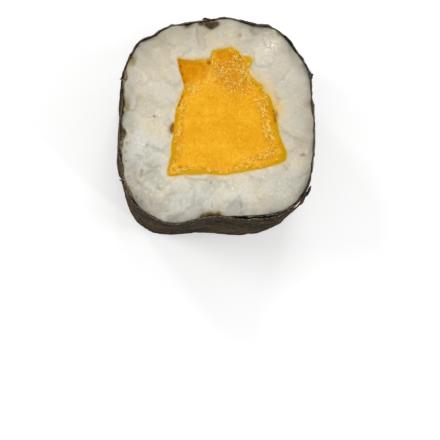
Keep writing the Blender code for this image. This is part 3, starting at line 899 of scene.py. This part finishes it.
def flake(x, y, length, width, seed):
    """An ellipse of width sin(πu)^0.6, thin the other way, carried along the rim and leaning out."""
    u = np.linspace(0.03, 0.97, FLAKE_ROWS)[:, None]
    turn = np.linspace(0, 2 * math.pi, FLAKE_COLUMNS, endpoint=False)[None]
    out = np.array([x, y]) / np.hypot(x, y)
    bearing = math.atan2(y, x)
    root = out * (polar(ROLL_LOOP, bearing) + sagged(bearing, ROLL_LENGTH) - FLAKE_ROOT)
    along_rim = np.array([-out[1], out[0]])
    taper = np.sin(math.pi * u) ** 0.6
    ragged = 1 + 0.5 * noise(np.stack(np.broadcast_arrays(u * 3 + seed, turn), axis=-1), 0.6, seed)
    lean = width * taper * ragged * np.cos(turn)
    thick = FLAKE_THICKNESS * taper * np.sin(turn) + 0.12 * np.sin(math.pi * u * 2 + seed)
    middle = ROLL_LENGTH - FLAKE_SINK
    outwards = 0.55 * (lean + width) * 0.5 + thick
    upwards = middle + 0.35 * (lean + width) - thick
    sideways = (u - 0.5) * length + 0 * turn
    flat = root + sideways[..., None] * along_rim + outwards[..., None] * out
    return np.dstack([flat, np.minimum(upwards, ROLL_LENGTH - 0.02)])


def joined(name, pieces):
    """Several small pieces as one object, so that they ride and are finished together."""
    bpy.ops.object.select_all(action="DESELECT")
    for piece in pieces:
        piece.select_set(True)
    bpy.context.view_layer.objects.active = pieces[0]
    bpy.ops.object.join()
    pieces[0].name = name
    return pieces[0]


flakes = joined("nori_flakes", [closed_surface(f"flake_{turn}", flake(*values, turn + 1), poles=True)
                                for turn, values in enumerate(FLAKES)])
paint(flakes, "cut", np.zeros(len(flakes.data.vertices)))

# %% [markdown]
# ## Recipes for the finishes
#
# A material is a small sum: a base colour, plus a little of this where that mask is high. Nodes
# can be joined by hand, but the sum then hides behind the wires. Here a wire can be added and
# multiplied like a number, and each operator puts one Math node into the material.

# %% Wires that can be reckoned with


class Wire:
    """The output of a node. Each operator on it adds one Math node and gives that node's output."""

    def __init__(self, recipe, socket):
        self.recipe = recipe
        self.socket = socket

    def maths(self, operation, first, second=0.0):
        return self.recipe.node("ShaderNodeMath", {"operation": operation}, {0: first, 1: second})

    def __add__(self, other):
        return self.maths("ADD", self, other)

    def __sub__(self, other):
        return self.maths("SUBTRACT", self, other)

    def __rsub__(self, other):
        return self.maths("SUBTRACT", other, self)

    def __mul__(self, other):
        return self.maths("MULTIPLY", self, other)

    __radd__ = __add__
    __rmul__ = __mul__


class Recipe:
    """One material and the nodes in it."""

    def __init__(self, name):
        self.material = bpy.data.materials.new(name)
        self.material.use_nodes = True
        self.tree = self.material.node_tree
        self.tree.nodes.clear()
        self.place = self.node("ShaderNodeTexCoord", output="Object")

    def node(self, kind, settings=None, sockets=None, output=0):
        """Any node: its settings first, then a value or a wire for each of its sockets."""
        made = self.tree.nodes.new(kind)
        for name, value in (settings or {}).items():
            setattr(made, name, value)
        for name, value in (sockets or {}).items():
            if isinstance(value, Wire):
                self.tree.links.new(value.socket, made.inputs[name])
            else:
                made.inputs[name].default_value = value
        return Wire(self, made.outputs[output])

    def mask(self, name):
        """The numbers that were painted on the surface under that name."""
        return self.node("ShaderNodeAttribute", {"attribute_name": name}, output="Fac")

    def masks(self, *names):
        return [self.mask(name) for name in names]

    def speckle(self, size_mm, detail=3.0, distortion=0.0, kind="FBM", where=None):
        """Noise from 0 to 1 whose spots are about that size."""
        sockets = {"Vector": where or self.place, "Scale": 1000 / size_mm, "Detail": detail,
                   "Roughness": 0.55, "Distortion": distortion}
        return self.node("ShaderNodeTexNoise", {"noise_type": kind}, sockets)

    def threads(self, size_mm, distortion, half_width):
        """Curly lines that run where noise is near a half: 1 on a line and 0 off it."""
        away = self.speckle(size_mm, 2.0, distortion) - 0.5
        return 1 - self.fade(away * away, 0.1 * half_width**2, half_width**2)

    def stretched(self, x, y, z):
        """The place on the object, stretched along its axes."""
        return self.node("ShaderNodeVectorMath", {"operation": "MULTIPLY"},
                         {0: self.place, 1: (x, y, z)})

    def fade(self, value, start, end):
        """0 up to start, 1 from end, and smooth in between."""
        return self.node("ShaderNodeMapRange", {"interpolation_type": "SMOOTHSTEP"},
                         {"Value": value, "From Min": start, "From Max": end})

    def layers(self, ground, *rows):
        """Each row of (colour, share) is laid on what is under it, and the ground lies lowest."""
        colour = screen(*ground)
        for over, share in rows:
            colour = self.node("ShaderNodeMix", {"data_type": "RGBA", "blend_type": "MIX"},
                               {0: share, 6: colour, 7: screen(*over)}, output=2)
        return colour

    def relief(self, *rows):
        """Bumps of (height, depth in mm), each on top of the one before it."""
        under = {}
        for height, depth_mm in rows:
            sockets = {"Height": height, "Distance": depth_mm * MM, "Strength": 1.0, **under}
            under = {"Normal": self.node("ShaderNodeBump", {}, sockets)}
        return under["Normal"]

    def finish(self, sockets):
        surface = self.node("ShaderNodeBsdfPrincipled", {}, sockets)
        end = self.tree.nodes.new("ShaderNodeOutputMaterial")
        self.tree.links.new(surface.socket, end.inputs["Surface"])
        return self.material


def screen(red, green, blue):
    """A colour as it reads on a screen, 0 to 255, in the linear light that Blender works in."""
    share = np.array([red, green, blue]) / 255
    linear = np.where(share <= 0.04045, share / 12.92, ((share + 0.055) / 1.055) ** 2.4)
    return (*linear.tolist(), 1.0)


# %% [markdown]
# ## Finish of the rice
#
# Cooked rice is white with a little yellow and green in it, and light goes about a millimetre in
# before it comes out again, which is why the shadows between the grains are so faint; the colour
# adds some painted shade in the hollows, creases, grooves and holes. Towards the nori it turns
# darker and greener, as painted shade where the cut rounds down beside the dark sheet, and in
# places brown where nori has rubbed off on it. Next to the mango it turns yellow, stained by the
# juice. A film of starch makes it glint here and there, and some glints are painted in white.

# %% Cook up the rice


def rice_finish():
    recipe = Recipe("cooked_rice")
    fade = recipe.fade
    to_nori, to_mango, shaded_pit, moat_and_shade, juice = recipe.masks("to_nori", "to_mango", "shaded_pit", "moat_and_shade", "juice")
    broad = recipe.speckle(5.0, 1.0)
    patch = recipe.speckle(1.8, 2.0, 0.3)
    lump = recipe.speckle(0.9, 3.0, 0.4)
    frost = recipe.speckle(0.42, 4.0, 0.6)
    tint = recipe.speckle(3.4, 3.0, 0.6) + recipe.mask("tint") * 0.10
    gloss_and_painted_glint = recipe.mask("gloss_and_painted_glint") * fade(recipe.speckle(0.28, 3.0, 1.2), 0.47, 0.58)
    ragged_nori = to_nori + (patch - 0.5) * 2.4
    stain = recipe.mask("stain") * 1.2 + (lump - 0.5) * 1.8 - to_nori * 0.5
    juice = juice + juice * (patch - 0.5) * 1.6
    shaded_pit_by_mango = fade(shaded_pit, 0.2, 0.6) * (1 - fade(to_mango, 0.6, 1.0))
    colour = recipe.layers(
        # boiled rice, grain by grain
        (208, 197, 176),
        ((214, 205, 186), fade(broad, 0.40, 0.62)),
        ((214, 212, 201), recipe.mask("cool") * 0.75),
        ((204, 198, 183), fade(patch, 0.46, 0.66) * 0.4),
        ((219, 205, 166), fade(tint, 0.48, 0.64) * 0.5),
        ((199, 202, 193), (1 - fade(tint, 0.36, 0.52)) * 0.5),
        ((232, 227, 215), fade(recipe.mask("grain_tone"), 0.0, 1.0) * 0.18),
        ((222, 213, 188), (1 - fade(to_mango, 0.8, 2.6)) * 0.6),
        # painted shade in the hollows between grains and along the creases where they meet
        ((176, 172, 155), recipe.mask("cavity_shade") * 0.7),
        ((150, 144, 128), recipe.mask("crease_shade") * 0.22),
        ((236, 229, 215), fade(frost, 0.52, 0.66) * 0.32),
        ((184, 178, 164), (1 - fade(frost, 0.34, 0.48)) * 0.30),
        # painted highlights: white glints where the starch film glistens
        ((255, 253, 246), gloss_and_painted_glint * 0.85),
        # painted shade where the cut lies in its own shade and where it rounds down to the nori,
        # then brown stains where nori has rubbed off
        ((180, 169, 144), recipe.mask("dim") * 0.7),
        # painted shade: darker and greener towards the nori, where the cut rounds down
        ((156, 152, 138), (1 - fade(ragged_nori, 0.0, 2.6)) * 0.62),
        ((150, 140, 108), (1 - fade(ragged_nori, -0.6, 0.8)) * 0.5),
        ((166, 154, 112), fade(stain, 0.15, 0.5) * 0.8),
        ((104, 80, 42), fade(stain, 0.72, 1.0) * 0.8),
        # painted shade in the grooves, and in the moat where the rice stands back from the nori
        ((132, 126, 106), recipe.mask("groove_and_shade") * 0.7),
        ((128, 112, 74), moat_and_shade * 0.85),
        ((66, 54, 34), moat_and_shade * fade(frost, 0.46, 0.56) * 0.8),
        # wet with the mango's juice
        ((226, 190, 106), fade(juice, 0.12, 0.95) * 0.9),
        ((224, 180, 50), fade(juice, 0.70, 1.0) * 0.75),
        ((222, 196, 156), (1 - fade(to_mango, 0.1, 0.9)) * 0.45),
        ((222, 182, 66), (1 - fade(to_mango, 0.06, 0.38)) * 0.75),
        # holes painted as shade, olive-brown and orange beside the mango, and dark specks
        ((108, 84, 44), fade(shaded_pit, 0.2, 0.85) * 0.9),
        ((174, 124, 32), shaded_pit_by_mango * 0.9),
        ((142, 98, 44), recipe.mask("speck") * 0.85),
    )
    relief = recipe.relief((lump, 0.08), (frost, 0.09))
    return recipe.finish({
        "Base Color": colour, "Roughness": 0.40 + frost * 0.25, "Normal": relief,
        "Subsurface Weight": 0.35, "Subsurface Radius": (1.0, 0.85, 0.6), "Subsurface Scale": 0.5 * MM,
        "Coat Weight": fade(frost, 0.48, 0.62) * 0.5 + gloss_and_painted_glint * 0.4, "Coat Roughness": 0.16,
        "Specular IOR Level": 0.25,
    })


# %% [markdown]
# ## Finish of the mango
#
# Ripe mango is a deep golden yellow, and wet. The flat of the cut is lighter, and palest where its
# broken cells scatter more light, while the torn part is deeper. The sloping band and the scoops are
# painted deeper too, partly in the flesh's own colour and partly as shade where they slope away.
# Juice lies on all of it: a clear coat carries the sparkle, and spots of painted sparkle and painted
# shade add to it on the crest and the torn part.

# %% Ripen the mango


def mango_finish():
    recipe = Recipe("fresh_mango")
    fade = recipe.fade
    band, crest, hollow, torn = recipe.masks("band", "crest", "hollow", "torn")
    open_flesh = crest + torn
    broad = recipe.speckle(4.5, 2.0)
    patch = recipe.speckle(1.1, 3.0, 0.5)
    cell = recipe.speckle(0.30, 4.0, 1.2)
    sparkle_spots = recipe.speckle(0.46, 3.0, 2.2)
    uneven = band + (patch - 0.5) * 1.1
    colour = recipe.layers(
        (233, 167, 24),
        ((241, 181, 40), fade(broad, 0.40, 0.62)),
        ((232, 158, 10), fade(patch, 0.50, 0.72) * 0.6),
        ((252, 200, 72), fade(cell, 0.52, 0.66) * 0.5),
        ((222, 146, 14), (1 - fade(cell, 0.34, 0.47)) * 0.65),
        ((216, 142, 28), torn * 0.7),
        # the sloping band: deeper gold, partly painted shade where it slopes away from the light
        ((210, 150, 0), fade(uneven, 0.15, 0.85) * 0.9),
        ((196, 154, 0), fade(uneven, 0.75, 1.0) * 0.65),
        # the scoops: deeper orange, partly the smooth flesh's own colour and partly painted shade
        ((222, 150, 0), fade(hollow, 0.0, 0.7) * 0.9),
        ((198, 126, 0), hollow * fade(patch, 0.48, 0.62) * 0.7),
        # on the crest and the torn part: darker gold spots of painted shade, and pale spots of painted
        # sparkle
        ((202, 134, 4), open_flesh * (1 - fade(sparkle_spots, 0.36, 0.50)) * 0.6),
        ((252, 208, 84), open_flesh * fade(sparkle_spots, 0.60, 0.66) * 0.7),
        ((226, 182, 40), recipe.mask("yellower_band") * 0.6),
        ((190, 152, 0), recipe.mask("olive") * 0.7),
        ((252, 202, 92), recipe.mask("broken") * fade(cell, 0.40, 0.60) * 0.7),
        # brown marks: real bruises, and painted shade along the edge where the rice overhangs
        ((174, 86, 4), recipe.mask("bruise_and_edge_shade") * 0.9),
    )
    relief = recipe.relief((patch, 0.06), (cell, 0.05))
    return recipe.finish({
        "Base Color": colour, "Roughness": 0.55 - crest * 0.2, "Normal": relief,
        "Subsurface Weight": 0.3, "Subsurface Radius": (1.0, 0.5, 0.08), "Subsurface Scale": 1.0 * MM,
        "Coat Weight": open_flesh * fade(sparkle_spots, 0.45, 0.60) * 0.3, "Coat Roughness": 0.08,
        "Specular IOR Level": 0.03,
    })


def fibre_finish():
    """The same flesh, paler on some strands as painted sparkle and broken flesh, moist all over."""
    recipe = Recipe("wet_fibre")
    fade = recipe.fade
    pale_and_painted_sparkle = recipe.mask("pale_and_painted_sparkle")
    tint = recipe.speckle(0.3, 2.0)
    colour = recipe.layers(
        (230, 162, 4),
        ((248, 190, 30), fade(tint, 0.40, 0.62)),
        # paler strands: partly broken flesh, partly painted sparkle
        ((254, 208, 62), fade(pale_and_painted_sparkle, 0.3, 0.6) * 0.8),
        ((255, 228, 116), fade(pale_and_painted_sparkle, 0.60, 0.74)),
    )
    return recipe.finish({
        "Base Color": colour, "Roughness": 0.35 + tint * 0.1, "Normal": recipe.relief((tint, 0.05)),
        "Coat Weight": pale_and_painted_sparkle * 0.04, "Coat Roughness": 0.10,
        "Specular IOR Level": 0.05,
    })


# %% [markdown]
# ## Finish of the nori
#
# Nori is pressed from shredded seaweed, so no two places have the same colour: blue-grey and
# olive patches lie over grey-brown, and where the sheet is thin the light turns it amber. It
# takes up water from the rice and wrinkles, and each wrinkle catches a little light. The colour
# also paints shade in the wrinkles and between the fibres, and glints on the fibres and threads.

# %% Press the nori


def nori_finish():
    recipe = Recipe("moist_nori")
    fade = recipe.fade
    broad = recipe.speckle(8.0, 2.0, 0.5)
    patch = recipe.speckle(4.0, 3.0, 0.8)
    thin = recipe.speckle(4.4, 3.0, 0.6, where=recipe.stretched(1.0, 1.0, 1.2))
    mauve = recipe.speckle(3.4, 3.0, 0.6, where=recipe.stretched(1.3, 1.3, 1.0))
    shred = recipe.speckle(0.9, 4.0, 1.2)
    wrinkle = recipe.speckle(0.8, 4.0, 1.6, "RIDGED_MULTIFRACTAL")
    fibre = recipe.speckle(0.45, 3.0, 1.5)
    painted_glint_thread = recipe.threads(2.0, 1.6, 0.022)
    painted_shade_thread = recipe.threads(2.4, 2.0, 0.026)
    rim = recipe.mask("cut") * fade(fibre, 0.42, 0.60)
    colour = recipe.layers(
        (54, 48, 38),
        ((100, 86, 66), fade(broad, 0.40, 0.60)),
        ((50, 54, 54), fade(patch, 0.50, 0.60) * 0.85),
        ((92, 74, 66), fade(mauve, 0.50, 0.60) * 0.65),
        ((104, 94, 46), fade(thin, 0.54, 0.64) * 0.75),
        ((104, 60, 16), fade(thin * mauve, 0.27, 0.36) * 0.65),
        ((30, 28, 23), fade(shred, 0.50, 0.68) * 0.55),
        # painted shade in the wrinkles and between the fibres, and painted glints on the fibres
        ((24, 23, 19), (1 - fade(wrinkle, 0.15, 0.75)) * 0.35),
        ((28, 26, 21), (1 - fade(fibre, 0.34, 0.48)) * 0.35),
        ((120, 108, 90), fade(fibre, 0.50, 0.70) * 0.3),
        # threads of painted shade and of painted glint, as light lies on crinkled nori
        ((22, 20, 17), painted_shade_thread * 0.4),
        ((132, 121, 102), painted_glint_thread * 0.22),
        ((122, 113, 100), rim * 0.8),
    )
    relief = recipe.relief((wrinkle, 0.10), (shred, 0.14), (fibre, 0.07))
    return recipe.finish({
        "Base Color": colour, "Roughness": 0.48 + shred * 0.35, "Normal": relief,
        "Coat Weight": fade(fibre, 0.54, 0.70) * 0.15, "Coat Roughness": 0.22,
        "Specular IOR Level": 0.0,
    })


# %% Give each piece its finish and its place in the model
NORI_FINISH = nori_finish()
SERVED = ((rice, rice_finish(), "rice"), (mango, mango_finish(), "mango"), (nori, NORI_FINISH, "nori"))
for piece, finish, name in SERVED:
    piece.data.materials.append(finish)
    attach(piece, "root")
    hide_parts(name)
for piece, finish, name in ((flakes, NORI_FINISH, "nori"), (fibres, fibre_finish(), "mango")):
    piece.data.materials.append(finish)
    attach(piece, "root")

# %% [markdown]
# ## Table, light and camera
#
# The piece stands on a plain pale table under soft light. Four soft lamps stand round it, well
# off the straight line up, so that the flat of the cut shows its own colour and not the lamps,
# and only what slopes can shine. Two small lamps throw harder light, and give the wet edge its
# sparkle.

# %% Set the table
FLOOR_HALF = 3000.0


def table():
    """A square floor, a little bright of its own so that no shadow on it is dark."""
    corners = np.array([(-1, -1, 0), (1, -1, 0), (1, 1, 0), (-1, 1, 0)]) * FLOOR_HALF
    floor = solid("table", corners, [(0, 1, 2, 3)])
    recipe = Recipe("pale_table")
    grain = recipe.speckle(30.0, 3.0)
    floor.data.materials.append(recipe.finish({
        "Base Color": recipe.layers((247, 247, 247), ((249.3, 249.3, 249.3), grain)), "Roughness": 0.8,
        "Specular IOR Level": 0.1, "Emission Color": (1, 1, 1, 1), "Emission Strength": 0.25,
    }))


table()

# %% Hang the lamps
# (name, place in metres, side, watts)
LAMPS = (
    ("lamp_left", (-0.38, 0.10, 0.54), 0.18, 0.90), ("lamp_right", (0.38, -0.05, 0.54), 0.18, 0.60),
    ("lamp_back", (0.05, 0.38, 0.54), 0.18, 0.78), ("lamp_front", (-0.10, -0.38, 0.54), 0.18, 0.28),
    ("lamp_key", (0.30, -0.26, 0.62), 0.06, 0.42), ("lamp_rim", (-0.24, 0.30, 0.62), 0.06, 0.34))
LAMP_TARGET = (0, 0, 0.02)
AMBIENT = 0.44


def aimed(place, target):
    """A matrix that puts an object at place, looks at target, and keeps +Y up in the picture."""
    back = (Vector(place) - Vector(target)).normalized()
    right = Vector((0, 1, 0)).cross(back).normalized()
    up = back.cross(right)
    return Matrix.Translation(Vector(place)) @ Matrix((right, up, back)).transposed().to_4x4()


for name, place, side, power in LAMPS:
    lamp = bpy.data.lights.new(name, "AREA")
    lamp.shape = "SQUARE"
    lamp.size = side
    lamp.energy = power
    linked(name, lamp).matrix_world = aimed(place, LAMP_TARGET)

world = bpy.data.worlds.new("room")
world.use_nodes = True
sky = world.node_tree.nodes["Background"].inputs
sky["Color"].default_value = (1, 1, 1, 1)
sky["Strength"].default_value = AMBIENT
bpy.context.scene.world = world
bpy.context.scene.view_settings.view_transform = "Standard"

# %% Place the camera
CAMERA_PLACE = (-0.0175, -0.0380, 0.4306)
CAMERA_TARGET = (0.00044, -0.0136, 0.0320)
VIEW_ANGLE = 8.54
SENSOR = 36.0

camera = bpy.data.cameras.new("camera")
camera.sensor_width = SENSOR
camera.lens = SENSOR / 2 / math.tan(math.radians(VIEW_ANGLE) / 2)
camera.clip_start = 0.01
camera.clip_end = 20.0
holder = linked("camera", camera)
holder.matrix_world = aimed(CAMERA_PLACE, CAMERA_TARGET)
bpy.context.scene.camera = holder

# %% [markdown]
# ## Update the scene

# The finished surfaces have to stay within the box of the imported model.

# %% Update the scene
bpy.context.view_layer.update()
